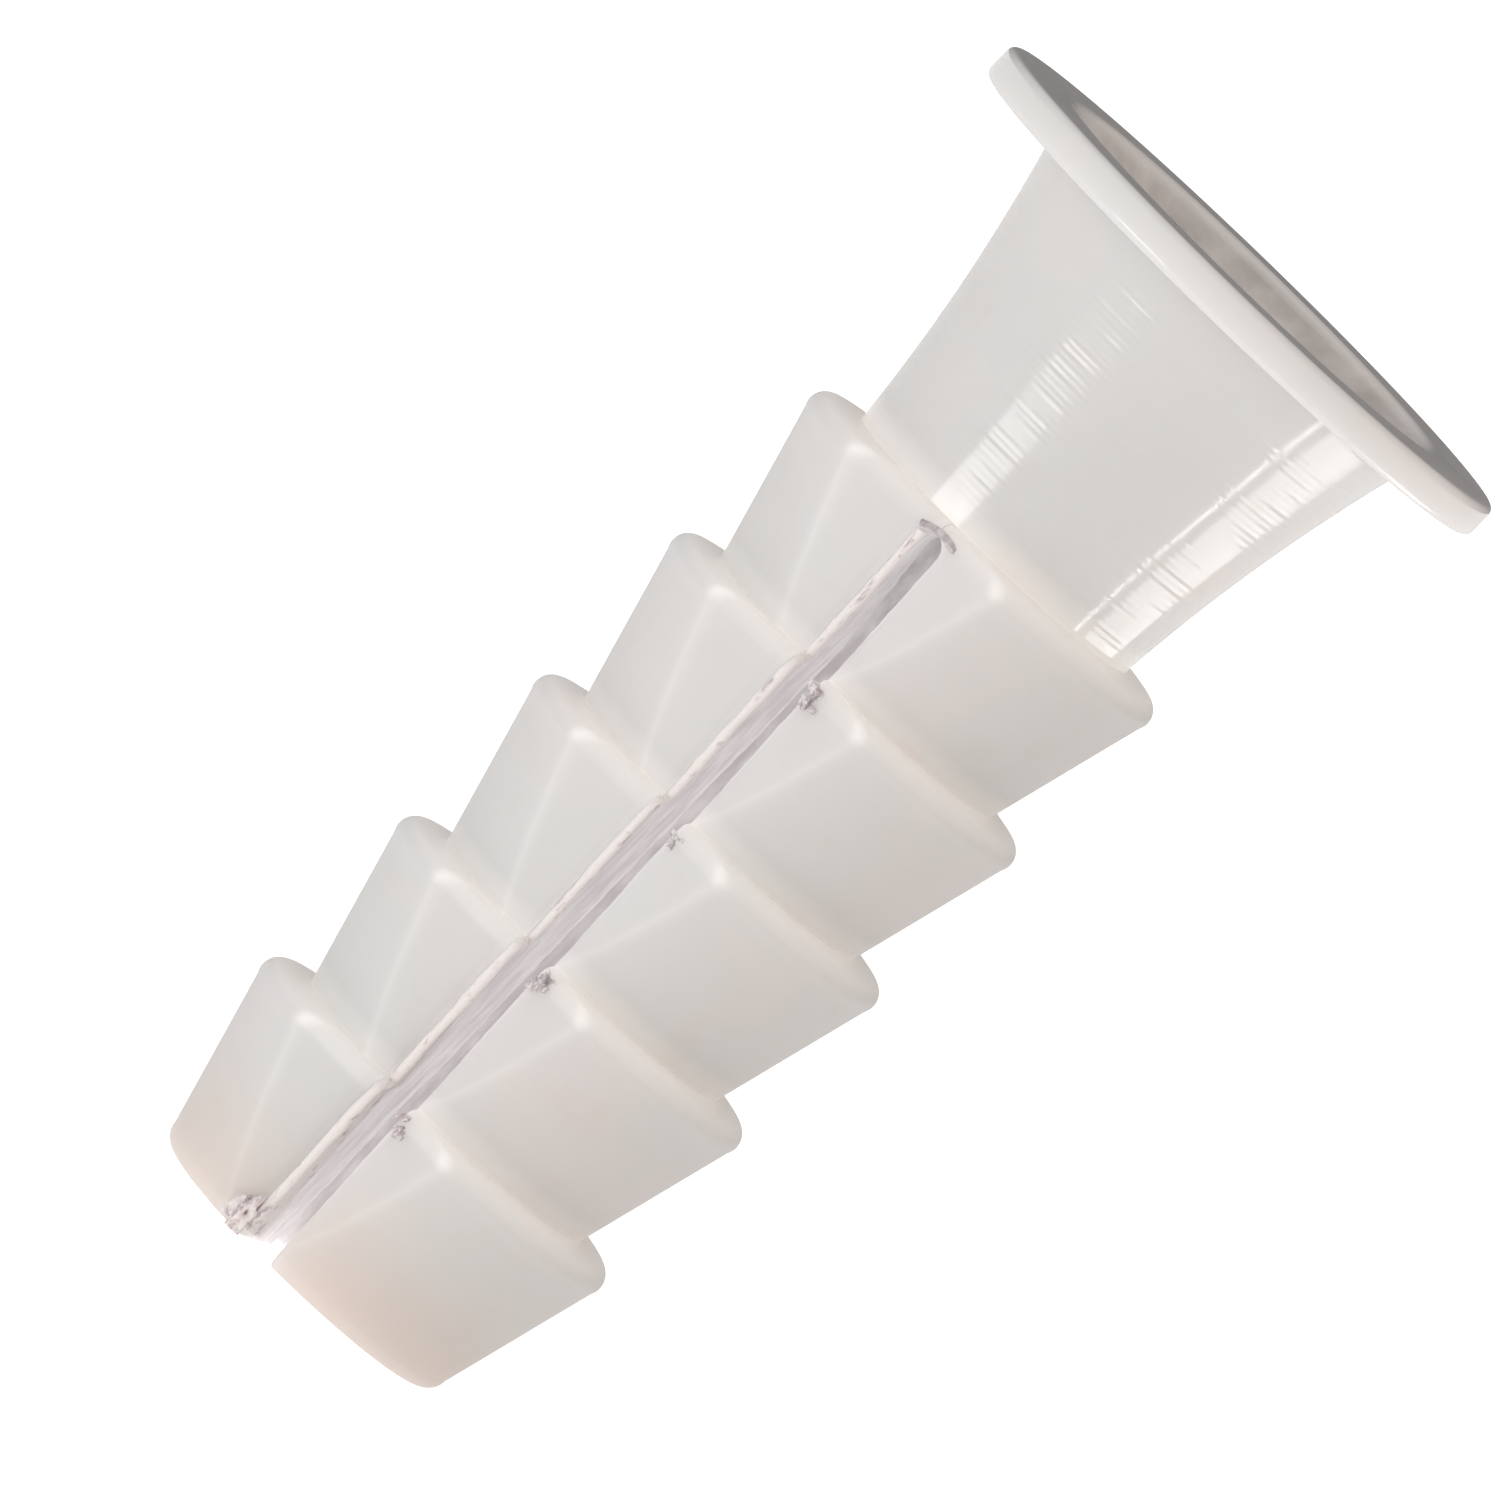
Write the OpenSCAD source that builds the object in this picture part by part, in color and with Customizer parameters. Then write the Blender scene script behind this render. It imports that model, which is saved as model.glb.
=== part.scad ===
// Split barbed wall plug for an 8 mm hole, moulded in one piece with a thin collar.
// Frame: +Z runs along the axis, out of the wall towards the screw head. The origin is on the
// axis, in the plane of the collar's underside, which lies on the wall.
// The slit between the legs lies in the YZ plane, so its mouths face -Y and +Y.

/* [Collar] */
// Outer diameter of the collar
collar_d = 12.1; // [10.5:0.1:16]
// Thickness of the collar
collar_t = 0.7; // [0.5:0.05:1.2]
// Radius of the collar's rounded edges
collar_edge_r = 0.14; // [0.05:0.01:0.2]

/* [Screw hole] */
// Diameter of the countersink at the collar's top face
sink_d = 9; // [7.2:0.1:9.2]
// Included angle of the countersink in degrees
sink_angle = 90; // [82:1:120]
// Diameter of the round bore below the countersink
bore_d = 5; // [4:0.1:5.6]
// Length over which the legs narrow the bore to the screw channel
lead_len = 2.6; // [1:0.1:5]
// Diameter of the screw channel where it starts
channel_top_d = 3; // [2:0.1:3.9]
// Diameter of the screw channel at the toe
channel_toe_d = 1.8; // [1:0.1:2.6]

/* [Neck] */
// Length of the smooth neck from the collar's underside to the first barb
neck_len = 6.05; // [4:0.05:10]
// Diameter of the neck at the first barb
neck_low_d = 6.64; // [6.3:0.02:7.6]
// Diameter of the neck under the collar
neck_top_d = 8.8; // [8.2:0.1:9.6]
// How far the flare bows in from a straight cone
flare_sag = 0.14; // [0:0.01:0.2]

/* [Barbs] */
// Number of barbs
barb_count = 5; // [3:1:8]
// Distance from one barb's ledge to the next
barb_pitch = 3.58; // [3:0.02:5]
// Largest diameter over a barb
barb_d = 8.5; // [7.9:0.1:10.2]
// Diameter at the foot of a barb
foot_d = 6.8; // [6.6:0.1:7.4]
// Length of the last barb, down to the toe
toe_len = 3.93; // [3:0.05:5]
// Radius of a barb's nose
nose_r = 0.33; // [0.1:0.01:0.4]
// Radius of the toe's rounded edge
toe_edge_r = 0.35; // [0.1:0.05:0.6]

/* [Flats beside the slit] */
// Depth of the flat below the round at a barb's widest place
flat_wide_depth = 0.48; // [0.3:0.02:0.7]
// Depth of the flat below the round at a barb's foot
flat_foot_depth = 0.07; // [0.02:0.01:0.15]
// Turn of the flats from the slit, clockwise seen from the head, in degrees
flat_turn = 5; // [0:1:8]

/* [Slit and legs] */
// Solid ring left between the first ledge and the top of the slit
root_ring = 0.3; // [0.2:0.05:0.6]
// Height of the zone at a leg's root that bends
hinge_h = 0.8; // [0.5:0.05:1.5]
// Width of the slit at its top
slit_top_w = 0.65; // [0.5:0.05:0.9]
// Width of the slit at the toe
slit_toe_w = 0.85; // [0.8:0.05:1.4]

/* [Moulding flash] */
// Thickness of the flash left on the slit's edges
flash_t = 0.14; // [0.06:0.02:0.2]
// Width of the flash, in from the slit's mouth
flash_w = 0.35; // [0.2:0.05:0.6]
// Height of each crumb of flash on the right leg
crumb_h = 0.4; // [0.2:0.05:0.8]
// Height of the film of flash at the toe
toe_film_h = 1.6; // [0.5:0.1:2.5]

/* [Hidden] */
$fn = 64;

// Fillets and curves are drawn as this many steps
nose_steps = 6;
edge_steps = 4;
flare_steps = 16;
// Cutting shapes run this far past what they cut
over = 1;
// Width of the mouth's rim at the collar's top face
seat_rim = 0.1;
// Flash starts this far in from the slit's mouth
mouth_gap = 0.1;

// Heights of the planes that the pieces share
ledge_z = -neck_len;
slit_top_z = ledge_z - root_ring;
leg_top_z = slit_top_z - hinge_h;
toe_z = ledge_z - (barb_count - 1) * barb_pitch - toe_len;
sink_depth = (sink_d - bore_d) / 2 / tan(sink_angle / 2);
sink_foot_z = collar_t - sink_depth;
// Radius where the flange meets the countersunk mouth
seat_r = max(sink_d, neck_top_d) / 2 + seat_rim;

// Slope of a barb's side, and the height where it leaves the rounded nose
nose_drop = nose_r + 0.07;
side_slope = (barb_d - foot_d) / 2 / (barb_pitch - nose_drop);
side_angle = atan(side_slope);
reach = barb_d + collar_d;

// Outer radius of the neck at a height from 0, under the collar, down to the first ledge
function neck_r(z) =
    let (t = 1 + z / neck_len)
    neck_low_d / 2 + (neck_top_d - neck_low_d) / 2 * t - 4 * flare_sag * t * (1 - t);

// Radius of a barb's straight side at a depth below its ledge
function side_r(depth) = barb_d / 2 - (depth - nose_drop) * side_slope;

// Distance of a barb's flat from the axis at a depth below its ledge
function flat_r(depth) =
    let (t = (depth - nose_drop) / (barb_pitch - nose_drop))
    barb_d / 2 - flat_wide_depth
    - t * ((barb_d - foot_d) / 2 - flat_wide_depth + flat_foot_depth);

// Half the slit's width at a height
function slit_half(z) =
    let (t = (slit_top_z - z) / (slit_top_z - toe_z))
    (slit_top_w + t * (slit_toe_w - slit_top_w)) / 2;

// Quarter-round from one angle to another about a centre
function arc(centre, r, from, to, steps) =
    [for (i = [0:steps]) let (a = from + (to - from) * i / steps)
        centre + r * [cos(a), sin(a)]];

// Outline of one barb below its ledge at height top, with its last point at height foot
function barb_outline(top, foot) =
    let (centre = [barb_d / 2 - nose_r, top - nose_drop])
    concat(arc(centre, nose_r, 80, side_angle > 0 ? -side_angle : 0, nose_steps),
           [[side_r(top - foot), foot]]);

// Outline of the whole row of barbs from the first ledge to the toe
function barbs_outline() =
    concat(
        [[0, ledge_z], [neck_low_d / 2, ledge_z]],
        [for (i = [0:barb_count - 2]) let (top = ledge_z - i * barb_pitch)
            each barb_outline(top, top - barb_pitch)],
        let (top = ledge_z - (barb_count - 1) * barb_pitch)
        concat(
            arc([barb_d / 2 - nose_r, top - nose_drop], nose_r, 80, -side_angle, nose_steps),
            arc([side_r(toe_len - toe_edge_r) - toe_edge_r, toe_z + toe_edge_r],
                toe_edge_r, -side_angle, -90, edge_steps)),
        [[0, toe_z]]);

// A block that holds everything between two heights
module slab(low, high) {
    translate([-reach / 2, -reach / 2, low])
        cube([reach, reach, high - low]);
}

// The wedge outside one flat of the barb whose ledge is at height top
module flat_cut(top, length) {
    rotate([0, 0, -flat_turn])
        translate([-reach / 2, 0, top])
        rotate([90, 0, 90])
        linear_extrude(reach)
        polygon([[flat_r(0), 0], [reach, 0], [reach, -length], [flat_r(length), -length]]);
}

// The barbed stem as one turned body, with the flats cut beside the slit's two mouths
module barbed_stem() {
    difference() {
        rotate_extrude() polygon(barbs_outline());
        for (i = [0:barb_count - 1], side = [0, 180])
            rotate([0, 0, side])
                flat_cut(ledge_z - i * barb_pitch, i < barb_count - 1 ? barb_pitch : toe_len + over);
    }
}

// Everything on one side of the slit between two heights; inset moves its face into the slit
module leg_side(side, low, high, inset = 0) {
    rotate([90, 0, 0])
        translate([0, 0, -reach / 2])
        linear_extrude(reach)
        polygon([[side * (slit_half(high) - inset), high], [side * reach, high],
                 [side * reach, low], [side * (slit_half(low) - inset), low]]);
}

// The screw channel: a lead-in cone and then a slow taper to the toe
module channel() {
    translate([0, 0, slit_top_z - lead_len])
        cylinder(h = lead_len, d1 = channel_top_d, d2 = bore_d);
    translate([0, 0, toe_z])
        cylinder(h = slit_top_z - lead_len - toe_z, d1 = channel_toe_d, d2 = channel_top_d);
    translate([0, 0, toe_z - over])
        cylinder(h = over + 0.01, d = channel_toe_d);
    translate([0, 0, slit_top_z - 0.01])
        cylinder(h = over, d = bore_d);
}

// One side of the split stem between two heights
module leg_part(side, low, high) {
    intersection() {
        difference() {
            barbed_stem();
            channel();
        }
        leg_side(side, low, high);
    }
}

// Flash on one side of the slit just inside its mouth, between two heights
module flash(side, mouth, low, high) {
    middle = flat_r(barb_pitch) - mouth_gap - flash_w / 2;
    difference() {
        intersection() {
            leg_side(side, low, high, flash_t);
            translate([0, mouth * middle, (low + high) / 2])
                cube([reach, flash_w, high - low], center = true);
        }
        leg_side(side, low - over, high + over);
    }
}

// A bored ring turned from an outline of radius and height
module bored_ring(outline, low, high) {
    difference() {
        rotate_extrude() polygon(outline);
        translate([0, 0, low - over])
            cylinder(h = high - low + 2 * over, d = bore_d);
    }
}

// Flat flange that stops the plug at the wall
module collar() {
    r = collar_d / 2;
    e = collar_edge_r;
    color("WhiteSmoke")
        rotate_extrude()
        polygon(concat(
            [[seat_r, collar_t], [seat_r, 0]],
            arc([r - e, e], e, -90, 0, edge_steps),
            arc([r - e, collar_t - e], e, 0, 90, edge_steps)));
}

// Countersunk mouth inside the flange, down to where the round bore starts
module countersink() {
    color("GhostWhite")
        rotate_extrude()
        polygon(concat(
            [[bore_d / 2, sink_foot_z]],
            [for (i = [0:flare_steps]) let (z = sink_foot_z * (1 - i / flare_steps))
                [neck_r(z), z]],
            [[seat_r, 0], [seat_r, collar_t], [sink_d / 2, collar_t]]));
}

// Smooth flared sleeve round the bore
module neck() {
    color("Linen")
        bored_ring(concat(
            [[0, sink_foot_z]],
            [for (i = [0:flare_steps])
                let (z = sink_foot_z + (ledge_z - sink_foot_z) * i / flare_steps)
                [neck_r(z), z]],
            [[0, ledge_z]]), ledge_z, sink_foot_z);
}

// Solid band above the slit, where the legs join and the first barb's ledge starts
module root_band() {
    color("OldLace")
        intersection() {
            difference() {
                barbed_stem();
                translate([0, 0, slit_top_z - over])
                    cylinder(h = root_ring + 2 * over, d = bore_d);
            }
            slab(slit_top_z, ledge_z);
        }
}

// Root of a leg, where the wall bends when the leg spreads
module left_hinge() {
    color("Gainsboro") leg_part(-1, leg_top_z, slit_top_z);
}

module right_hinge() {
    color("Gainsboro") leg_part(1, leg_top_z, slit_top_z);
}

// Barbed half of the split stem
module left_leg() {
    color("Snow") leg_part(-1, toe_z, leg_top_z);
}

module right_leg() {
    color("Ivory") leg_part(1, toe_z, leg_top_z);
}

// Crumbs of flash on the right leg's edge, one at each barb's foot
module right_flash() {
    color("Thistle")
        for (i = [1:barb_count - 1], mouth = [-1, 1])
            let (foot = ledge_z - i * barb_pitch)
            flash(1, mouth, foot - crumb_h / 2, foot + crumb_h / 2);
}

// Film of flash on the left leg's edge at the toe
module toe_flash() {
    color("RosyBrown")
        for (mouth = [-1, 1])
            flash(-1, mouth, toe_z + toe_edge_r, toe_z + toe_edge_r + toe_film_h);
}

collar();
countersink();
neck();
root_band();
left_hinge();
right_hinge();
left_leg();
right_leg();
right_flash();
toe_flash();
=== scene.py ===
import math

import bpy
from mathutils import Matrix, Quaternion, Vector, noise


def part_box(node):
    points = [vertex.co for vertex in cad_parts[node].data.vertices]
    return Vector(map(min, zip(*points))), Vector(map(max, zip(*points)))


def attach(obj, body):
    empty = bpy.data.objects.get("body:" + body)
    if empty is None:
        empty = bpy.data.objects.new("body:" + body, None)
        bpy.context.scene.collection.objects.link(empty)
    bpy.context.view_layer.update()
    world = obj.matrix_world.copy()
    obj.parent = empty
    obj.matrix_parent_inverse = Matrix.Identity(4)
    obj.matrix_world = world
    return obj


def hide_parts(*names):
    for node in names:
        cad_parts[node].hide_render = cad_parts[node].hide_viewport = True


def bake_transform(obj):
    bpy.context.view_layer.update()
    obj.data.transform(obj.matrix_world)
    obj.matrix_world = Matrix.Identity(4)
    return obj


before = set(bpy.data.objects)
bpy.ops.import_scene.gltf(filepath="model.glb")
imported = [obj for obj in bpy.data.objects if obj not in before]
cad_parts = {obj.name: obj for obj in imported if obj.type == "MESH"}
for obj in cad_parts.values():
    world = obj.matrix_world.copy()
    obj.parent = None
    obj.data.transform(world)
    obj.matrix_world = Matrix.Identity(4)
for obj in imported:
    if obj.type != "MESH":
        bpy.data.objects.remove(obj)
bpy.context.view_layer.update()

# ---------------------------------------------------------------------------
# Collar, countersunk mouth and neck
# One turned shape of natural nylon: a thin flange with a countersunk mouth, and a smooth flared
# sleeve round the bore. The mould core was turned on a lathe, and left fine rings on the neck.
MM = 0.001
collar_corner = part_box("collar")[1]
collar_r = collar_corner.x
collar_t = collar_corner.z
collar_edge = 0.14 * MM
neck_bottom, neck_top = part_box("neck")
ledge_z = neck_bottom.z
sink_foot_z = neck_top.z
neck_low_r = 3.32 * MM
neck_top_r = 4.4 * MM
flare_sag = 0.14 * MM
bore_r = 2.5 * MM
mouth_r = bore_r + collar_t - sink_foot_z
mouth_edge = 0.07 * MM
cone_top_z = collar_t - 0.06 * MM
under_fillet = 0.16 * MM
neck_steps = 170
cone_steps = 12
bore_steps = 30
turn_steps = 224
NYLON_CLEAR = (0.73, 0.735, 0.725, 1)
NYLON_PINK = (0.76, 0.735, 0.725, 1)
NYLON_WARM = (0.73, 0.65, 0.585, 1)
# Painted shade: the legs turn darker and warmer towards the toe.
NYLON_TOE_SHADE = (0.74, 0.61, 0.53, 1)
# Edge colour: paler, partly stress whitening and partly painted highlight; the edge glow below is
# a painted glint.
EDGE_WHITENING_AND_HIGHLIGHT = (0.93, 0.91, 0.89, 1)
EDGE_PAINTED_GLINT = (1, 0.97, 0.95, 1)
# Painted glow at ledges, barb feet, the collar's rim and over the slit, given as emission.
PAINTED_GLOW_TINT = (1, 0.92, 0.85, 1)
# Depths below the collar where the painted toe shade starts and where it is full.
toe_shade_top = 21.2 * MM
toe_shade_full = 24.6 * MM


def arc(centre_r, centre_z, radius, start, end, steps):
    """Points of radius and height on an arc between two angles in degrees."""
    angles = [math.radians(start + (end - start) * i / steps) for i in range(steps + 1)]
    return [(centre_r + radius * math.cos(a), centre_z + radius * math.sin(a)) for a in angles]


def neck_radius(z):
    """Outer radius of the flared neck at a height."""
    t = 1 - z / ledge_z
    straight = neck_low_r + (neck_top_r - neck_low_r) * t
    return straight - 4 * flare_sag * t * (1 - t)


def head_outside():
    """The head's outline from the bore's foot, up the outside and over the rim to the mouth."""
    top = -under_fillet
    flare = [ledge_z + (top - ledge_z) * i / neck_steps for i in range(neck_steps + 1)]
    outline = [(bore_r, ledge_z), (bore_r + 0.3 * MM, ledge_z)]
    outline += [(neck_radius(z), z) for z in flare]
    fillet_r = neck_radius(top) + under_fillet
    rim_r = collar_r - collar_edge
    mouth_edge_r = mouth_r + mouth_edge
    outline += arc(fillet_r, top, under_fillet, 180, 90, 5)[1:]
    outline += [(fillet_r + (rim_r - fillet_r) * i / 6, 0) for i in range(1, 6)]
    outline += arc(rim_r, collar_edge, collar_edge, -90, 0, 6)
    outline += [(collar_r, collar_edge + (collar_t - 2 * collar_edge) * i / 4) for i in (1, 2, 3)]
    outline += arc(rim_r, collar_t - collar_edge, collar_edge, 0, 90, 6)
    outline += [(rim_r + (mouth_edge_r - rim_r) * i / 8, collar_t) for i in range(1, 9)]
    outline += [(mouth_r + 0.02 * MM, collar_t - 0.012 * MM)]
    outline += [(bore_r + cone_top_z - sink_foot_z, cone_top_z)]
    return outline


def head_inside():
    """The head's outline down the countersink's cone and the bore, to just above its foot."""
    cone_h = cone_top_z - sink_foot_z
    outline = [(bore_r + cone_h * (1 - i / cone_steps), cone_top_z - cone_h * i / cone_steps)
               for i in range(1, cone_steps)]
    outline += [(bore_r, sink_foot_z - 0.04 * MM)]
    outline += [(bore_r, sink_foot_z + (ledge_z - sink_foot_z) * i / bore_steps)
                for i in range(1, bore_steps)]
    return outline


def mesh_piece(name, points, edges, faces):
    """An object at the origin with a mesh of its own, in the scene."""
    mesh = bpy.data.meshes.new(name)
    mesh.from_pydata(points, edges, faces)
    mesh.update()
    piece = bpy.data.objects.new(name, mesh)
    bpy.context.scene.collection.objects.link(piece)
    return piece


def closed_mesh(name, rings, cap_ends):
    """A mesh through rings of points: each ring is closed, and so is the row unless capped."""
    count = len(rings[0])
    points = [p for ring in rings for p in ring]
    faces = []
    last = len(rings) - 1 if cap_ends else len(rings)
    for i in range(last):
        low, high = i * count, (i + 1) % len(rings) * count
        for j in range(count):
            k = (j + 1) % count
            faces.append((low + j, low + k, high + k, high + j))
    if cap_ends:
        faces.append(tuple(range(count - 1, -1, -1)))
        faces.append(tuple(range(last * count, (last + 1) * count)))
    return mesh_piece(name, points, [], faces)


def outward(piece, sharp_degrees):
    """Turns the faces outwards and shades them smooth, apart from edges past an angle."""
    bpy.context.view_layer.objects.active = piece
    piece.select_set(True)
    bpy.ops.object.mode_set(mode="EDIT")
    bpy.ops.mesh.select_all(action="SELECT")
    bpy.ops.mesh.normals_make_consistent(inside=False)
    bpy.ops.object.mode_set(mode="OBJECT")
    piece.select_set(False)
    piece.data.polygons.foreach_set("use_smooth", [True] * len(piece.data.polygons))
    piece.data.set_sharp_from_angle(angle=math.radians(sharp_degrees))


class Socket:
    """The output of a node, on which Python's operators add Math nodes."""

    def __init__(self, tree, output):
        self.tree = tree
        self.output = output

    def maths(self, operation, *others):
        return self.tree.add("ShaderNodeMath", {"operation": operation}, (self, *others))

    def __add__(self, other):
        return self.maths("ADD", other)

    def __radd__(self, other):
        return self.maths("ADD", other)

    def __sub__(self, other):
        return self.maths("SUBTRACT", other)

    def __rsub__(self, other):
        return self.tree.add("ShaderNodeMath", {"operation": "SUBTRACT"}, (other, self))

    def __mul__(self, other):
        return self.maths("MULTIPLY", other)

    def __rmul__(self, other):
        return self.maths("MULTIPLY", other)

    def __truediv__(self, other):
        return self.maths("DIVIDE", other)


class Tree:
    """A node tree that adds one node at a time, with its settings first and then its inputs."""

    def __init__(self, tree):
        self.tree = tree
        self.keys = {}

    def add(self, kind, settings=None, inputs=(), output=0):
        node = self.tree.nodes.new(kind)
        for name, value in (settings or {}).items():
            setattr(node, name, value)
        pairs = inputs.items() if isinstance(inputs, dict) else enumerate(inputs)
        for key, value in pairs:
            if isinstance(value, Socket):
                self.tree.links.new(value.output, node.inputs[key])
            else:
                node.inputs[key].default_value = value
        return Socket(self, node.outputs[output]) if len(node.outputs) else node

    def step(self, value, low, high):
        """0 below low, 1 above high, and a smooth rise between."""
        settings = {"interpolation_type": "SMOOTHSTEP"}
        return self.add("ShaderNodeMapRange", settings,
                        {"Value": value, "From Min": low, "From Max": high})

    def colour_mix(self, factor, first, second):
        inputs = {0: factor, 6: first, 7: second}
        return self.add("ShaderNodeMix", {"data_type": "RGBA"}, inputs, 2)

    def clouds(self, place, scale, detail, roughness=0.5):
        """Noise from 0 to 1 over a place."""
        return self.add("ShaderNodeTexNoise", None, {"Vector": place, "Scale": scale,
                                                     "Detail": detail, "Roughness": roughness})

    def vector(self, operation, first, second):
        return self.add("ShaderNodeVectorMath", {"operation": operation}, (first, second))

    def scaled(self, vector, factor):
        settings = {"operation": "SCALE"}
        return self.add("ShaderNodeVectorMath", settings, {0: vector, "Scale": factor})

    def moved(self, geometry, offset):
        inputs = {"Geometry": geometry, "Offset": offset}
        return self.add("GeometryNodeSetPosition", None, inputs)

    def take(self, *sizes):
        """Named inputs: the geometry, and then each size by its label, kind and usual value."""
        sockets = self.tree.interface
        sockets.new_socket(name="Geometry", socket_type="NodeSocketGeometry")
        for label, kind, value in sizes:
            socket = sockets.new_socket(name=label, socket_type="NodeSocket" + kind)
            socket.default_value = value
            self.keys[label] = socket.identifier
        sockets.new_socket(name="Geometry", in_out="OUTPUT", socket_type="NodeSocketGeometry")
        start = self.add("NodeGroupInput").output.node
        return [Socket(self, output) for output in list(start.outputs)[:-1]]

    def give(self, geometry, material):
        """The end of the tree: real geometry, all of one material."""
        real = self.add("GeometryNodeRealizeInstances", None, {0: geometry})
        done = self.add("GeometryNodeSetMaterial", None, {0: real, "Material": material})
        self.add("NodeGroupOutput", None, {0: done})


def new_material(name):
    """A material with an empty node tree."""
    material = bpy.data.materials.new(name)
    material.use_nodes = True
    material.node_tree.nodes.clear()
    return material, Tree(material.node_tree)


def nylon(name, roughness, bump_depth, inner_shade_colour, painted_inner_glow, torn_scale):
    """Milky natural nylon: light scatters under a satin skin, with faint green and pink clouds.

    The attribute inner marks bore and slit walls: they are painted darker there, as painted shade
    in the recess, most in the low parts of the torn relief, and they get a painted glow of
    emission that stands in for light coming through the plastic. The attribute edge marks sharp
    corners, which are paler, partly stress whitening and partly painted highlight, with a painted
    glint of emission. A third attribute marks ledges and the foot of each barb with a painted glow
    of emission, in place of light leaving the plastic there.
    """
    material, tree = new_material(name)
    place = tree.add("ShaderNodeTexCoord", output="Object")
    clouds = tree.clouds(place, 240.0, 3.0, 0.55)
    streaks = tree.clouds(place, 800.0, 4.0, 0.6)
    grain = tree.clouds(place, 9000.0, 2.0)
    inner = tree.add("ShaderNodeAttribute", {"attribute_name": "inner"}, output=2)
    edge = tree.add("ShaderNodeAttribute", {"attribute_name": "edge"}, output=2)
    thin = tree.add("ShaderNodeAttribute", {"attribute_name": "thin"}, output=2)
    tint = tree.colour_mix(tree.step(clouds, 0.35, 0.7), NYLON_CLEAR, NYLON_PINK)
    tint = tree.colour_mix(tree.step(streaks, 0.5, 0.8) * 0.25, tint, NYLON_WARM)
    # Edges paler: partly stress whitening, partly painted highlight.
    tint = tree.colour_mix(edge * 0.6, tint, EDGE_WHITENING_AND_HIGHLIGHT)
    # Painted shade: darker and warmer towards the toe.
    below = tree.add("ShaderNodeSeparateXYZ", None, (place,), 2) * -1
    toe = tree.step(below, toe_shade_top, toe_shade_full)
    tint = tree.colour_mix(toe * 0.5, tint, NYLON_TOE_SHADE)
    drawn = tree.vector("MULTIPLY", place, (1.0, 1.0, 0.3))
    # Painted shade: bore and slit walls take a darker colour, most in the low parts of the torn
    # relief.
    torn = tree.clouds(drawn, torn_scale, 5.0, 0.6)
    torn_rise = tree.step(torn, 0.3, 0.76)
    wall = tree.colour_mix(torn_rise, inner_shade_colour, NYLON_PINK)
    tint = tree.colour_mix(inner, tint, wall)
    # Painted glow: emission on the walls stands in for light through the plastic, more on raised
    # relief and deepest in.
    painted_shine_through = inner * (0.62 + torn_rise * 0.3) + tree.step(inner, 0.8, 1.0) * 0.08
    glow = tree.colour_mix(painted_shine_through, (0, 0, 0, 1), painted_inner_glow)
    # Painted glint on edges, as emission.
    glow = tree.colour_mix(edge * 0.1, glow, EDGE_PAINTED_GLINT)
    # Painted glow on ledges, barb feet, rim and slit top, as emission.
    glow = tree.colour_mix(thin * 0.22, glow, PAINTED_GLOW_TINT)
    gloss = roughness + clouds * 0.08 + streaks * 0.05 + inner * 0.3
    height = grain * 0.12 + streaks * 0.5 + clouds + inner * torn * 1.3
    normal = tree.add("ShaderNodeBump", None,
                      {"Strength": 1.0, "Distance": bump_depth, "Height": height})
    skin = tree.add("ShaderNodeBsdfPrincipled", {"subsurface_method": "RANDOM_WALK"},
                    {"Base Color": tint, "Roughness": gloss, "Normal": normal,
                     "IOR": 1.53, "Subsurface Weight": 0.9,
                     "Subsurface Radius": (1.0, 0.95, 0.9), "Subsurface Scale": 1.8 * MM,
                     "Emission Color": glow, "Emission Strength": 1.0})
    tree.add("ShaderNodeOutputMaterial", None, {"Surface": skin})
    return material


def mark(piece, name, values):
    """Puts one number on each point of a piece, for its material to read."""
    piece.data.attributes.new(name, "FLOAT", "POINT").data.foreach_set("value", values)


over_slit = Vector((-0.05 * MM, -neck_low_r, ledge_z + 0.12 * MM))


def head_thinness(x, y, z):
    """How much painted glow the head's outside gets: most at its foot, its rim and over the slit.
    """
    if math.hypot(x, y) <= neck_low_r - 0.05 * MM or z >= cone_top_z + 0.04 * MM:
        return 0.0
    at_foot = 1 - (z - ledge_z) / (0.6 * MM)
    at_rim = 0.18 * (z + 0.1 * MM) / collar_t
    from_slit = (Vector((x, y, z)) - over_slit).length / (0.42 * MM)
    return max(0.0, at_foot, at_rim, 0.9 * math.exp(-from_slit ** 2))


outside, inside = head_outside(), head_inside()
head_rings = []
for i in range(turn_steps):
    turn = 2 * math.pi * i / turn_steps
    head_rings.append([(r * math.sin(turn), -r * math.cos(turn), z) for r, z in outside + inside])
head = closed_mesh("collar_and_neck", head_rings, cap_ends=False)
mark(head, "inner", ([0.0] * len(outside) + [1.0] * len(inside)) * turn_steps)
mark(head, "edge", [0.0] * len(head.data.vertices))
# Painted glow on the head: most at its foot, its rim and over the slit.
mark(head, "thin", [head_thinness(*point) for ring in head_rings for point in ring])


def run_tree(piece, tree, sizes):
    """Gives a piece's mesh the result of a Geometry Nodes tree, as a plain mesh."""
    modifier = piece.modifiers.new(tree.tree.name, "NODES")
    modifier.node_group = tree.tree
    for label, size in sizes.items():
        modifier[tree.keys[label]] = size
    bpy.context.view_layer.update()
    made = bpy.data.meshes.new_from_object(piece.evaluated_get(
        bpy.context.evaluated_depsgraph_get()))
    piece.modifiers.remove(modifier)
    made.name = piece.name
    piece.data = made


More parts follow.
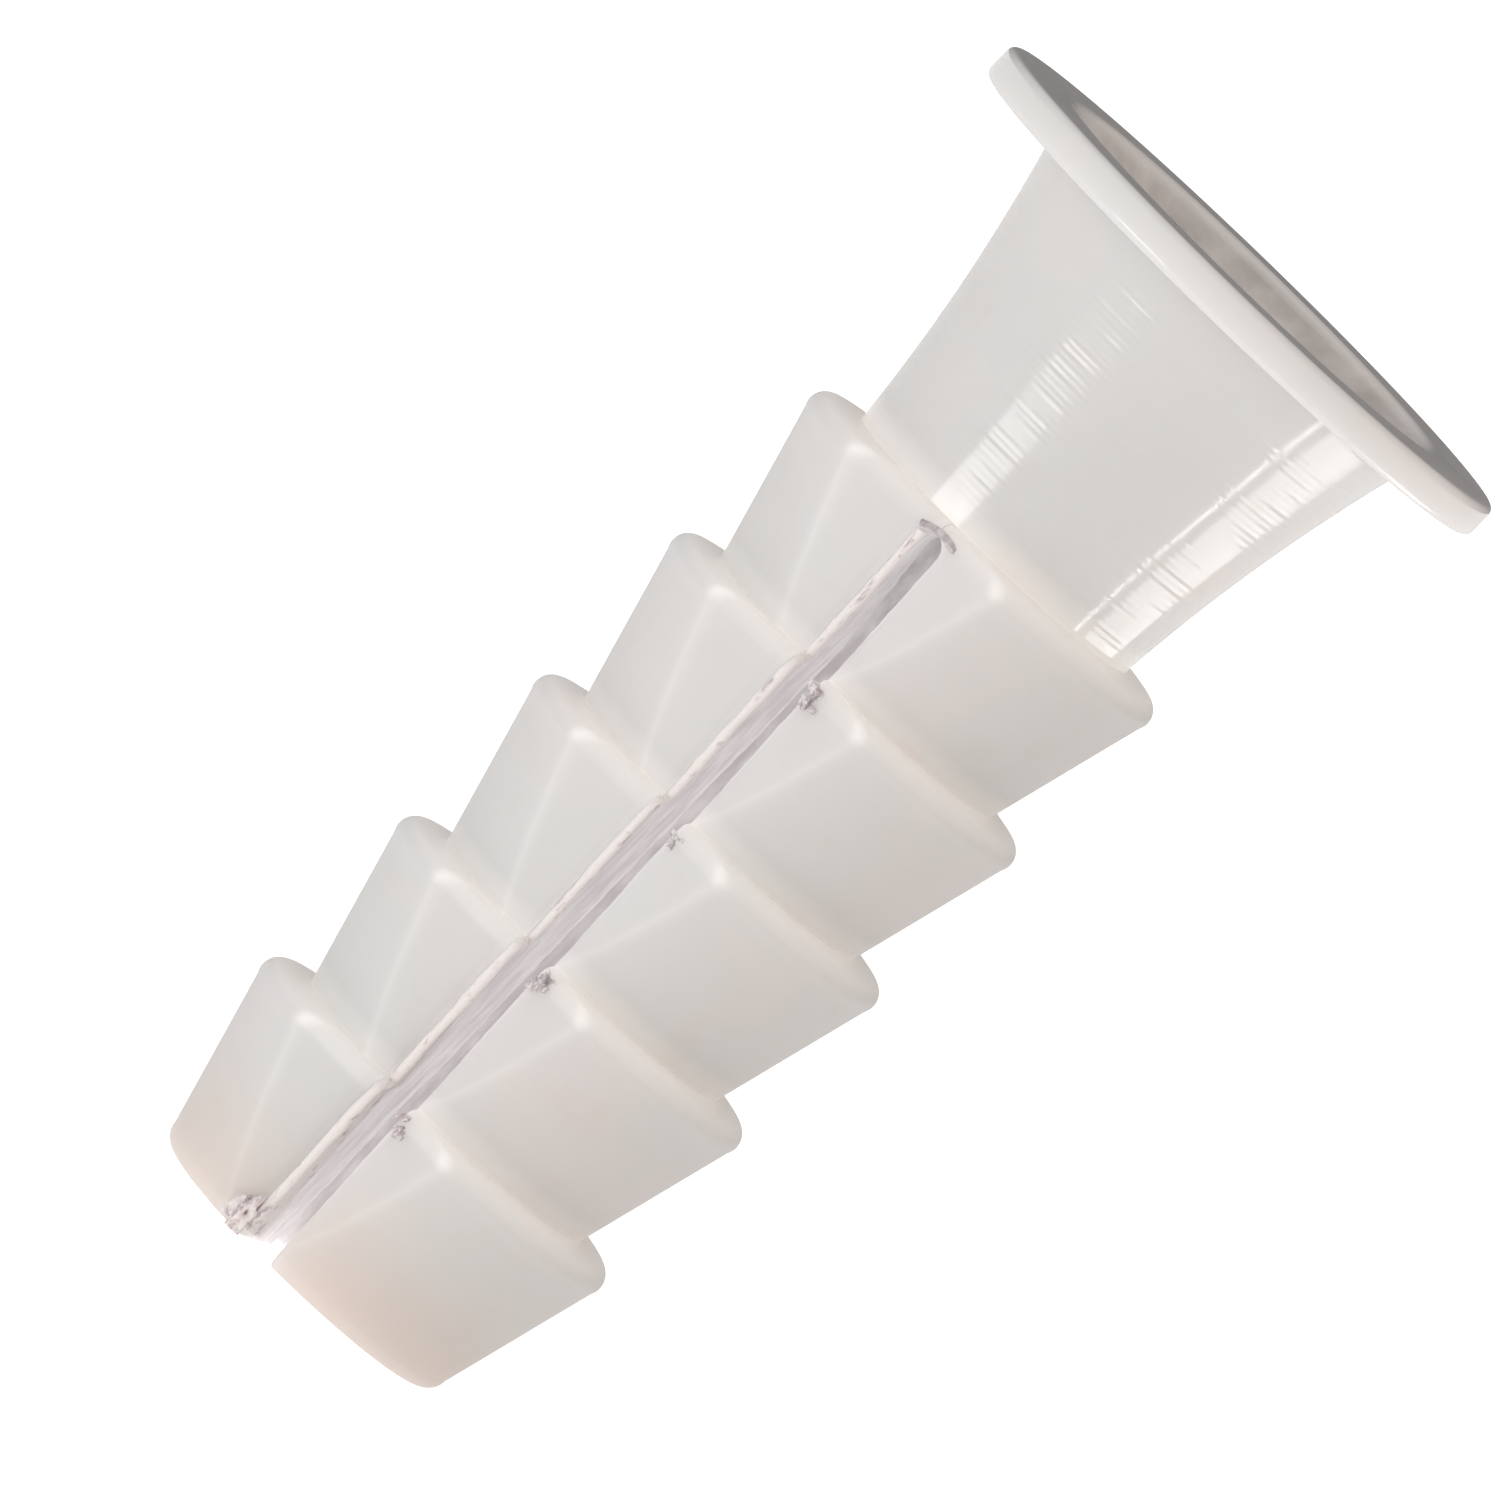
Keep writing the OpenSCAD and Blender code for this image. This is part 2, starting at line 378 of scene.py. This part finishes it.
def lathe_rings_tree(material):
    """Lathe rings: rows of shallow grooves round the axis, deeper in some places than others."""
    tree = Tree(bpy.data.node_groups.new("lathe_rings", "GeometryNodeTree"))
    geometry, pitch, depth, low, high, radius, seed = tree.take(
        ("Ring Pitch", "Float", 0.13 * MM), ("Ring Depth", "Float", 0.004 * MM),
        ("Lowest Ring", "Float", -5.9 * MM), ("Highest Ring", "Float", -0.4 * MM),
        ("Inner Radius", "Float", 3 * MM), ("Seed", "Float", 7.0))
    place = tree.add("GeometryNodeInputPosition")
    x, y, z = [tree.add("ShaderNodeSeparateXYZ", None, (place,), i) for i in range(3)]
    away = (x * x + y * y).maths("SQRT")
    patches = tree.add("ShaderNodeTexNoise", {"noise_dimensions": "4D"},
                       {"Vector": tree.vector("MULTIPLY", place, (520.0, 520.0, 2600.0)),
                        "W": seed, "Scale": 1.0, "Detail": 2.0})
    wave = (z / pitch * (2 * math.pi)).maths("SINE")
    half_wave = (z / pitch * (0.77 * math.pi) + seed).maths("SINE")
    on_neck = tree.step(away, radius, radius * 1.02)
    on_neck = on_neck * tree.step(z, low, low + pitch * 3)
    on_neck = on_neck * (1 - tree.step(z, high - pitch * 3, high))
    lift = (wave + half_wave * 0.8) * depth * on_neck * tree.step(patches, 0.38, 0.68)
    along = tree.scaled(tree.add("GeometryNodeInputNormal"), lift)
    tree.give(tree.moved(geometry, along), material)
    return tree


outward(head, 40)
# The bore and countersink take a dark painted-shade colour, with almost no painted glow.
head_finish = nylon("nylon_head", roughness=0.05, bump_depth=0.003 * MM,
                    inner_shade_colour=(0.46, 0.44, 0.425, 1), painted_inner_glow=(0.02, 0.02, 0.02, 1),
                    torn_scale=500.0)
run_tree(head, lathe_rings_tree(head_finish), {"Ring Pitch": 0.132 * MM,
                                               "Ring Depth": 0.0035 * MM,
                                               "Lowest Ring": ledge_z + 0.1 * MM,
                                               "Highest Ring": -0.5 * MM,
                                               "Inner Radius": 3.1 * MM,
                                               "Seed": 7.0})
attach(head, "root")
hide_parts("collar", "countersink", "neck")

# ---------------------------------------------------------------------------
# Barbed legs
# The split stem of the same nylon, moulded in one with the neck: five barbs in a row, a flat
# beside each mouth of the slit, and the narrowing screw channel. Each leg is solid with the neck
# through the root band.
leg_low, leg_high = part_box("left_leg")
band_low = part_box("root_band")[0]
slit_top_z = band_low.z
toe_z = leg_low.z
barb_r = 4.25 * MM
foot_r = 3.4 * MM
barb_count = 5
barb_pitch = 3.58 * MM
toe_len = ledge_z - toe_z - (barb_count - 1) * barb_pitch
nose_r = 0.33 * MM
nose_drop = 0.4 * MM
nose_start = math.radians(78)
toe_edge = 0.35 * MM
flat_wide_depth = 0.48 * MM
flat_foot_depth = 0.07 * MM
flat_turn = math.radians(5)
slit_top_half = 0.325 * MM
slit_toe_half = 0.425 * MM
slit_end_h = 0.35 * MM
lead_len = 2.6 * MM
channel_top_r = 1.5 * MM
channel_toe_r = 0.9 * MM
side_slope = (barb_r - foot_r) / (barb_pitch - nose_drop)
side_turn = math.atan(side_slope)
lip_corner = 0.06 * MM
crease_soft = 0.014
ledge_steps = 5
nose_steps = 10
side_steps = 30
toe_steps = 8
flat_steps = 9
round_steps = 60
wall_steps = 14
channel_steps = 24


def flat_radius(depth):
    """Distance of the flat from the axis at a depth below a barb's ledge."""
    t = (depth - nose_drop) / (barb_pitch - nose_drop)
    return barb_r - flat_wide_depth - t * (barb_r - foot_r - flat_wide_depth + flat_foot_depth)


def barb_stations(top, start_r, length):
    """Rows of height, round radius, flat distance, edge strength and painted glow down one barb.
    """
    rows = []
    first_r = barb_r - nose_r + nose_r * math.cos(nose_start)
    first_drop = nose_drop - nose_r * math.sin(nose_start)
    first_flat = flat_radius(nose_drop) - 0.12 * MM
    start_flat = min(start_r - 0.01 * MM, foot_r - flat_foot_depth)
    for i in range(ledge_steps):
        q = i / ledge_steps
        rows.append((top - q * q * first_drop, start_r + q * (first_r - start_r),
                     start_flat + q * (first_flat - start_flat), 0.0, 1.0))
    for i in range(nose_steps + 1):
        angle = nose_start - (nose_start + side_turn) * i / nose_steps
        depth = nose_drop - nose_r * math.sin(angle)
        r = barb_r - nose_r + nose_r * math.cos(angle)
        rounding = 0.5 * (barb_r - r) if angle > 0 else 0.0
        rows.append((top - depth, r, flat_radius(max(depth, nose_drop)) - rounding,
                     math.sin(math.pi * i / nose_steps), max(0.0, math.sin(angle))))
    depth_start = nose_drop + nose_r * math.sin(side_turn)
    for i in range(1, side_steps + 1):
        depth = depth_start + (length - depth_start) * i / side_steps
        r = barb_r - (depth - nose_drop) * side_slope
        # Painted glow rises towards the foot of each barb.
        at_foot = max(0.0, 1 - (barb_pitch - depth) / (0.5 * MM)) if length == barb_pitch else 0.0
        rows.append((top - depth, r, flat_radius(depth), 0.0, 0.8 * at_foot))
    return rows


def leg_stations():
    """Rows of height, round radius, flat distance, edge strength and painted glow down a leg."""
    rows = []
    for i in range(barb_count):
        top = ledge_z - i * barb_pitch
        start_r = neck_low_r if i == 0 else foot_r
        if i < barb_count - 1:
            rows += barb_stations(top, start_r, barb_pitch)[:-1]
        else:
            rows += barb_stations(top, start_r, toe_len - toe_edge)
    z, r, flat, _, _ = rows[-1]
    for i in range(1, toe_steps + 1):
        angle = math.pi / 2 * i / toe_steps
        inset = toe_edge * (1 - math.cos(angle))
        rows.append((z - toe_edge * math.sin(angle), r - inset, flat - inset, 0.3, 0.0))
    return rows


def slit_half(z):
    """Half the slit's width: closed in the root band, round at its end, then widening."""
    if z >= slit_top_z:
        return 0.0
    open_half = slit_top_half + (slit_toe_half - slit_top_half) * (
        (slit_top_z - z) / (slit_top_z - toe_z))
    into = min(1.0, (slit_top_z - z) / slit_end_h)
    return open_half * math.sqrt(1 - (1 - into) ** 2)


def channel_radius(z):
    """Radius of the screw channel: a lead-in cone and then a slow taper to the toe."""
    if z >= slit_top_z:
        return bore_r
    into = slit_top_z - z
    if into < lead_len:
        return bore_r + (channel_top_r - bore_r) * into / lead_len
    t = (into - lead_len) / (slit_top_z - lead_len - toe_z)
    return channel_top_r + (channel_toe_r - channel_top_r) * t


def leg_section(z, r, flat, edge, thin):
    """One closed section of the left leg, with how much each point is inside or on an edge."""
    half = slit_half(z)
    hole = channel_radius(z)

    def rim(angle):
        front = flat / max(0.05, math.cos(angle - flat_turn))
        back = flat / max(0.05, -math.cos(angle - flat_turn))
        return min(r, front if math.cos(angle - flat_turn) > 0 else back)

    def mouth(start):
        angle = start
        for _ in range(6):
            turn = math.asin(min(1.0, half / rim(angle)))
            angle = turn if start < 1 else math.pi - turn
        return angle

    first, last = mouth(0.0), mouth(math.pi)
    crease = math.acos(min(1.0, flat / r))
    bend_1 = max(first + 0.02, flat_turn + crease)
    bend_2 = min(last - 0.02, math.pi + flat_turn - crease)
    round_1, round_2 = bend_1 + crease_soft, bend_2 - crease_soft
    flat_1, flat_2 = bend_1 - crease_soft, bend_2 + crease_soft
    angles = [first + (flat_1 - first) * i / flat_steps for i in range(flat_steps + 1)]
    angles += [bend_1, round_1]
    angles += [round_1 + (round_2 - round_1) * i / round_steps for i in range(1, round_steps)]
    angles += [round_2, bend_2]
    angles += [flat_2 + (last - flat_2) * i / flat_steps for i in range(flat_steps + 1)]
    points = []
    for angle in angles:
        away = rim(angle)
        near = min(abs(angle - bend_1), abs(angle - bend_2))
        on_crease = math.exp(-(near / 0.02) ** 2)
        on_dot = math.exp(-(near / 0.04) ** 2)
        # Creases and barb noses are paler, partly stress whitening and partly painted highlight;
        # the bright dots at the crease corners, and the lip corners below, are painted glints.
        glow = 0.08 * edge + 0.18 * on_crease + 0.8 * edge * on_dot
        points.append((-away * math.sin(angle), -away * math.cos(angle), 0.0, glow))
    front_y, back_y = points[0][1], points[-1][1]
    points[0] = (-half - 0.3 * lip_corner, front_y + 0.3 * lip_corner, 0.1, 0.5)
    points[-1] = (-half - 0.3 * lip_corner, back_y - 0.3 * lip_corner, 0.1, 0.5)
    hole_y = math.sqrt(max(hole ** 2 - half ** 2, 1e-12))
    wall_back, wall_front = back_y - lip_corner, front_y + lip_corner
    # Deeper into the slit, the walls take more of the darker painted-shade colour and more painted
    # glow.
    for i in range(wall_steps):
        y = wall_back + (hole_y - wall_back) * i / wall_steps
        points.append((-half, y, min(1.0, 0.25 + i * 0.12), 0.0))
    spread = math.atan2(hole_y, half)
    for i in range(channel_steps + 1):
        angle = spread - 2 * spread * i / channel_steps
        points.append((-hole * math.cos(angle), hole * math.sin(angle), 1.0, 0.0))
    for i in range(1, wall_steps + 1):
        y = -hole_y + (wall_front + hole_y) * i / wall_steps
        points.append((-half, y, min(1.0, 0.25 + (wall_steps - i) * 0.12), 0.0))
    return [(x, y, z, inner, glow, thin if inner < 0.2 else 0.0) for x, y, inner, glow in points]


def rough_wall(x, y, z, inner):
    """Moves a point of the slit's wall a little, as torn nylon is rough there."""
    if inner < 0.2 or z > slit_top_z - 0.1 * MM:
        return x
    at = Vector((0.0, y * 2600, z * 1500))
    return x + 0.03 * MM * inner * noise.noise(at) + 0.015 * MM * noise.noise(at * 3.1)


def barbed_leg(name, side):
    """A leg's closed mesh, with the attributes inner, edge and thin on its points."""
    turn = 0 if side < 0 else math.pi
    rings, inner, edge, thin = [], [], [], []
    for row in leg_stations():
        ring = []
        for x, y, z, inside, glow, lit in leg_section(*row):
            x = rough_wall(x, y * side, z, inside)
            ring.append((x * math.cos(turn) - y * math.sin(turn),
                         x * math.sin(turn) + y * math.cos(turn), z))
            inner.append(inside)
            edge.append(glow)
            thin.append(lit)
        rings.append(ring)
    leg = closed_mesh(name, rings, cap_ends=True)
    mark(leg, "inner", inner)
    mark(leg, "edge", edge)
    mark(leg, "thin", thin)
    outward(leg, 50)
    return leg


# Slit walls: a darker painted-shade colour, lifted by a painted glow of emission.
leg_finish = nylon("nylon_leg", roughness=0.38, bump_depth=0.006 * MM,
                   inner_shade_colour=(0.6, 0.56, 0.56, 1), painted_inner_glow=(0.24, 0.236, 0.242, 1),
                   torn_scale=3600.0)
for side, name in ((-1, "left_leg"), (1, "right_leg")):
    leg = barbed_leg(name + "_moulding", side)
    leg.data.materials.append(leg_finish)
    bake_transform(leg)
    if side < 0:
        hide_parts(name, name.replace("leg", "hinge"), "root_band")
    else:
        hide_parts(name, name.replace("leg", "hinge"))

# ---------------------------------------------------------------------------
# Moulding flash
# Thin nylon that ran into the split of the mould: a ridge all down the left lip, torn strands and
# a ragged lump by the toe, crumbs at each barb on the right lip, and a hook over the slit's end.
ridge_r = 0.095 * MM
ridge_top_z = slit_top_z - 0.1 * MM
strand_r = 0.05 * MM
strands_top_z = toe_z + 6.2 * MM
lump_size = Vector((0.25, 0.3, 0.42)) * MM
lump_centre = Vector((-0.6 * MM, -3.26 * MM, toe_z + 0.42 * MM))
crumb_r = 0.15 * MM
crumb_drop = 0.38 * MM
crumb_y = -3.75 * MM
hook_r = 0.07 * MM
hook_y = -3.8 * MM
FLASH_PALE = (0.82, 0.77, 0.755, 1)
# Painted shade for the hollows between torn strands.
FLASH_HOLLOW_SHADE = (0.5, 0.43, 0.45, 1)


def flash_finish(name, hollow_shade_from, hollow_shade_to, painted_shine_through):
    """Torn nylon: pale and pinkish, with lilac painted shade in the hollows between the strands,
    and a faint painted glow of emission.
    """
    material, tree = new_material(name)
    place = tree.add("ShaderNodeTexCoord", output="Object")
    fibres = tree.clouds(tree.vector("MULTIPLY", place, (1.0, 1.0, 0.3)), 7000.0, 4.0, 0.65)
    tint = tree.colour_mix(tree.step(fibres, hollow_shade_from, hollow_shade_to), FLASH_HOLLOW_SHADE, FLASH_PALE)
    normal = tree.add("ShaderNodeBump", None,
                      {"Strength": 1.0, "Distance": 0.03 * MM, "Height": fibres})
    skin = tree.add("ShaderNodeBsdfPrincipled", {"subsurface_method": "RANDOM_WALK"},
                    {"Base Color": tint, "Roughness": 0.5, "Normal": normal, "IOR": 1.53,
                     "Subsurface Weight": 0.6, "Subsurface Radius": (1.0, 0.85, 0.75),
                     "Subsurface Scale": 0.25 * MM,
                     "Emission Color": tint, "Emission Strength": painted_shine_through})
    tree.add("ShaderNodeOutputMaterial", None, {"Surface": skin})
    return material


def strands_tree(material):
    """Strands: a path is repeated, each copy wanders off its own way and gets a round body."""
    tree = Tree(bpy.data.node_groups.new("flash_strands", "GeometryNodeTree"))
    geometry, count, radius, spread, wander, waves, seed = tree.take(
        ("Strand Count", "Int", 1), ("Strand Radius", "Float", strand_r),
        ("Spread", "Vector", (0, 0, 0)), ("Wander", "Float", 0.02 * MM),
        ("Waves Per Metre", "Float", 600.0), ("Seed", "Float", 1.0))
    path = tree.add("GeometryNodeMeshToCurve", None, {"Mesh": geometry})
    path = tree.add("GeometryNodeResampleCurve", None, {"Curve": path, "Count": 150})
    strands = tree.add("GeometryNodeDuplicateElements", {"domain": "SPLINE"},
                       {"Geometry": path, "Amount": count})
    index = Socket(tree, strands.output.node.outputs["Duplicate Index"])
    along = tree.add("GeometryNodeSplineParameter")
    lane = (index + 0.5) / count - 0.5
    shift = tree.scaled(spread, lane * (along * 0.8 + 0.2))
    waves_at = tree.scaled(tree.add("GeometryNodeInputPosition"), waves)
    swing = tree.add("ShaderNodeTexNoise", {"noise_dimensions": "4D"},
                     {"Vector": waves_at, "W": seed + index * 5.3, "Scale": 1.0, "Detail": 3.0}, 1)
    drift = tree.scaled(tree.vector("SUBTRACT", swing, (0.5, 0.5, 0.5)), wander * 2.0)
    strands = tree.moved(strands, tree.vector("ADD", shift, drift))
    thick = tree.add("ShaderNodeTexNoise", {"noise_dimensions": "4D"},
                     {"Vector": waves_at, "W": seed + index * 3.1, "Scale": 2.3, "Detail": 2.0})
    strands = tree.add("GeometryNodeSetCurveRadius", None,
                       {"Curve": strands, "Radius": thick * 1.1 + 0.45})
    section = tree.add("GeometryNodeCurvePrimitiveCircle", {"mode": "RADIUS"},
                       {"Resolution": 8, "Radius": radius})
    body = tree.add("GeometryNodeCurveToMesh", None,
                    {"Curve": strands, "Profile Curve": section, "Fill Caps": True,
                     "Scale": tree.add("GeometryNodeInputRadius")})
    tree.give(body, material)
    return tree


def path_piece(name, points):
    """A piece that is only a path so far: points joined in a row."""
    return mesh_piece(name, points, [(i, i + 1) for i in range(len(points) - 1)], [])


def lip_path(top, bottom, inward, forward, grow):
    """The left leg's front lip, moved forward and, over a length from its top, into the slit."""
    points = []
    for row in leg_stations():
        if bottom <= row[0] <= top and (not points or points[-1][2] - row[0] > 0.05 * MM):
            x, y, z = leg_section(*row)[0][:3]
            points.append((x + inward * min(1, 0.1 + (top - z) / grow), y - forward, z))
    return points


# Each flash glows faintly by emission: painted light in place of light through the nylon.
smooth_flash = flash_finish("flash_smooth", 0.3, 0.75, 0.1)
pale_flash = flash_finish("flash_pale", 0.3, 0.46, 0.11)
torn_flash = flash_finish("flash_torn", 0.4, 0.56, 0.08)
pale_strands = strands_tree(pale_flash)

ridge_path = lip_path(ridge_top_z, toe_z + 0.3 * MM, inward=0.1 * MM, forward=0, grow=0.1 * MM)
ridge = path_piece("left_lip_ridge", ridge_path)
run_tree(ridge, pale_strands, {"Strand Count": 1,
                               "Strand Radius": ridge_r,
                               "Wander": 0.03 * MM,
                               "Waves Per Metre": 700.0,
                               "Seed": 3.0})
outward(ridge, 60)
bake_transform(ridge)

strands_path = lip_path(strands_top_z, toe_z + 0.15 * MM,
                        inward=0.1 * MM, forward=-0.36 * MM, grow=3 * MM)
strands = path_piece("torn_strands", strands_path)
run_tree(strands, pale_strands, {"Strand Count": 12,
                                 "Strand Radius": strand_r,
                                 "Spread": (0.1 * MM, 0.95 * MM, 0),
                                 "Wander": 0.035 * MM,
                                 "Waves Per Metre": 420.0,
                                 "Seed": 11.0})
outward(strands, 60)
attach(strands, "left_leg")
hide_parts("toe_flash")


def ragged_lump(name, centre, size, rough, seed, material):
    """A torn blob: a ball whose skin is pushed in and out by noise."""
    bpy.ops.mesh.primitive_ico_sphere_add(subdivisions=5, radius=1)
    lump = bpy.context.object
    lump.name = name
    lump.data.name = name
    for point in lump.data.vertices:
        at = point.co.copy()
        push = noise.noise(at * 1.3 + Vector((seed, 0, 0)))
        push += 0.45 * noise.noise(at * 2.9 + Vector((0, seed, 0)))
        push += 0.12 * noise.noise(at * 7.3 + Vector((0, 0, seed)))
        at *= 1 + rough * push
        point.co = Vector((at.x * size.x, at.y * size.y, at.z * size.z)) + centre
    lump.data.materials.append(material)
    outward(lump, 60)
    return lump


lump = ragged_lump("toe_lump", lump_centre, lump_size, 0.9, 4.0, torn_flash)
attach(lump, "left_leg")

hook_path = []
for i in range(11):
    across = -0.35 + 0.1 * i
    hook_path.append((across * MM, hook_y + 1.1 * MM * (across - 0.05) ** 4,
                      slit_top_z + (0.06 - 0.5 * (across - 0.1) ** 2) * MM))
hook = path_piece("slit_top_hook", hook_path)
run_tree(hook, strands_tree(smooth_flash), {"Strand Count": 2,
                                            "Strand Radius": hook_r,
                                            "Spread": (0.05 * MM, 0, 0.08 * MM),
                                            "Wander": 0.025 * MM,
                                            "Waves Per Metre": 900.0,
                                            "Seed": 2.0})
outward(hook, 60)
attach(hook, "root")


def crumbs_tree(material):
    """Crumbs: each point gets a cluster of small torn balls, each of its own size and turn."""
    tree = Tree(bpy.data.node_groups.new("flash_crumbs", "GeometryNodeTree"))
    geometry, count, radius, reach, seed = tree.take(
        ("Crumbs Per Barb", "Int", 6), ("Crumb Radius", "Float", crumb_r),
        ("Reach", "Vector", (0, 0, 0)), ("Seed", "Int", 5))
    copies = tree.add("GeometryNodeDuplicateElements", {"domain": "POINT"},
                      {"Geometry": geometry, "Amount": count})

    def random(low, high, draw):
        return tree.add("FunctionNodeRandomValue", {"data_type": "FLOAT_VECTOR"},
                        {0: low, 1: high, "Seed": draw})

    scatter = random((-1, -1, -1), (1, 1, 1), seed)
    points = tree.moved(copies, tree.vector("MULTIPLY", scatter, reach))
    ball = tree.add("GeometryNodeMeshIcoSphere", None, {"Radius": radius, "Subdivisions": 4})
    size = random((0.3, 0.25, 0.3), (1.0, 0.7, 1.5), seed + 7)
    turn = random((0, 0, 0), (6.28, 6.28, 6.28), seed + 13)
    cluster = tree.add("GeometryNodeInstanceOnPoints", None,
                       {"Points": points, "Instance": ball, "Rotation": turn, "Scale": size})
    real = tree.add("GeometryNodeRealizeInstances", None, {0: cluster})
    torn = tree.clouds(tree.add("GeometryNodeInputPosition"), 14000.0, 3.0)
    push = tree.scaled(tree.add("GeometryNodeInputNormal"), (torn - 0.5) * radius * 1.6)
    tree.give(tree.moved(real, push), material)
    return tree


crumb_points = []
for i in range(1, barb_count):
    crumb_z = ledge_z - i * barb_pitch - crumb_drop
    crumb_points.append((slit_half(crumb_z) + 0.15 * MM, crumb_y, crumb_z))
crumbs = mesh_piece("right_lip_crumbs", crumb_points, [], [])
run_tree(crumbs, crumbs_tree(torn_flash), {"Crumbs Per Barb": 9,
                                           "Crumb Radius": crumb_r,
                                           "Reach": (0.13 * MM, 0.05 * MM, 0.17 * MM),
                                           "Seed": 5})
outward(crumbs, 60)
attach(crumbs, "right_leg")
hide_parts("right_flash")

# ---------------------------------------------------------------------------
# Floor, lights and camera
# A pale luminous table under the toe and a soft room round it. A soft box shines from the front
# left, and two small lamps at the right give the neck its bands of light: they are linked to the
# head alone, so they leave the legs as they are.
view_turn = math.radians(13.6)
view_lift = math.radians(5.19)
right = Vector((math.cos(view_turn), math.sin(view_turn), 0))
toward = Vector((math.sin(view_turn), -math.cos(view_turn), 0))
up = Vector((0, 0, 1))
floor_half = 3.0
lamp_reach = 30 * MM
lamp_drop = 13 * MM
lamp_h = 12 * MM

corners = [(-1, -1), (1, -1), (1, 1), (-1, 1)]
floor = mesh_piece("floor", [(x * floor_half, y * floor_half, toe_z) for x, y in corners],
                   [], [(0, 1, 2, 3)])
floor_finish, floor_tree = new_material("pale_table")
straight = floor_tree.add("ShaderNodeLightPath", output="Is Camera Ray")
table_glow = floor_tree.colour_mix(straight, (0.5, 0.49, 0.485, 1), (1.1, 1.1, 1.1, 1))
table = floor_tree.add("ShaderNodeBsdfPrincipled", None,
                       {"Base Color": (0.7, 0.7, 0.7, 1), "Roughness": 0.9,
                        "Specular IOR Level": 0.0, "Emission Color": table_glow,
                        "Emission Strength": 1.0})
floor_tree.add("ShaderNodeOutputMaterial", None, {"Surface": table})
floor.data.materials.append(floor_finish)

world = bpy.data.worlds.new("soft_room")
bpy.context.scene.world = world
world.use_nodes = True
world.node_tree.nodes.clear()
room = Tree(world.node_tree)
ray = room.add("ShaderNodeTexCoord", output="Generated")


def room_side(direction):
    """How far a ray of the room points along a direction, from -1 to 1."""
    return room.add("ShaderNodeVectorMath", {"operation": "DOT_PRODUCT"},
                    {0: ray, 1: tuple(direction)}, "Value")


facing = room_side(toward)
height = room_side(up)
behind = room.colour_mix(room.step(room_side(right), -0.4, 0.6), (0.46, 0.46, 0.48, 1),
                         (0.46, 0.345, 0.28, 1))
front = room.colour_mix(room.step(room_side(right), -0.3, 0.7), (0.8, 0.805, 0.82, 1),
                        (0.76, 0.64, 0.54, 1))
room_colour = room.colour_mix(room.step(facing, -0.5, 0.3), behind, front)
mirrored = room.add("ShaderNodeLightPath", output="Is Glossy Ray")
ceiling = room.colour_mix(mirrored, (0.5, 0.48, 0.47, 1), (0.1, 0.09, 0.09, 1))
room_colour = room.colour_mix(room.step(height, 0.3, 0.75), room_colour, ceiling)
dark = room.step(height, 0.0, 0.03) * (1 - room.step(facing, -0.4, 0.4))
dark = dark * (1 - room.step(height, 0.35, 0.7))
room_colour = room.colour_mix(dark, room_colour, (0.1, 0.1, 0.105, 1))
seen = room.add("ShaderNodeLightPath", output="Is Camera Ray")
room_colour = room.colour_mix(seen, room_colour, (1, 1, 1, 1))
light = room.add("ShaderNodeBackground", None, {"Color": room_colour, "Strength": 1.0})
room.add("ShaderNodeOutputWorld", None, {"Surface": light})


def soft_box(name, place, aim, width, height, power):
    """A rectangular lamp that shines on a point and isn't seen itself."""
    lamp = bpy.data.lights.new(name, "AREA")
    lamp.shape = "RECTANGLE"
    lamp.size = width
    lamp.size_y = height
    lamp.energy = power
    box = bpy.data.objects.new(name, lamp)
    bpy.context.scene.collection.objects.link(box)
    box.location = place
    box.rotation_mode = "QUATERNION"
    box.rotation_quaternion = (aim - place).to_track_quat("-Z", "Y")
    box.visible_camera = False
    return box


neck_middle = up * (ledge_z / 2)


def beside_neck(turn):
    """A place at the right of the neck and under it, turned towards the camera by an angle."""
    side = right * math.cos(turn) + toward * math.sin(turn)
    return neck_middle + side * lamp_reach - up * lamp_drop


strip = soft_box("strip_light", beside_neck(math.radians(-13)), neck_middle,
                 20 * MM, lamp_h, 0.0023)
line = soft_box("line_light", beside_neck(math.radians(14)), neck_middle, 1.0 * MM, lamp_h, 0.0004)
lit_by_strips = bpy.data.collections.new("lit_by_strips")
lit_by_strips.objects.link(head)
strip.light_linking.receiver_collection = lit_by_strips
line.light_linking.receiver_collection = lit_by_strips
front_place = neck_middle - right * 34 * MM + toward * 46 * MM - up * 19 * MM
soft_box("front_light", front_place, neck_middle, 26 * MM, 22 * MM, 0.0083)

camera = bpy.data.cameras.new("camera")
camera.sensor_width = 36
camera.lens = 635
camera_away = 0.479
camera_piece = bpy.data.objects.new("camera", camera)
bpy.context.scene.collection.objects.link(camera_piece)
target = right * (-0.59 * MM) + up * (-11.82 * MM)
back = toward * math.cos(view_lift) + up * math.sin(view_lift)
camera_piece.location = target + back * camera_away
camera_piece.rotation_mode = "QUATERNION"
roll = Quaternion((0, 0, 1), math.radians(44.06))
camera_piece.rotation_quaternion = (-back).to_track_quat("-Z", "Y") @ roll
camera.clip_start = 0.01
camera.clip_end = 20
bpy.context.scene.camera = camera_piece
bpy.context.scene.view_settings.view_transform = "Standard"
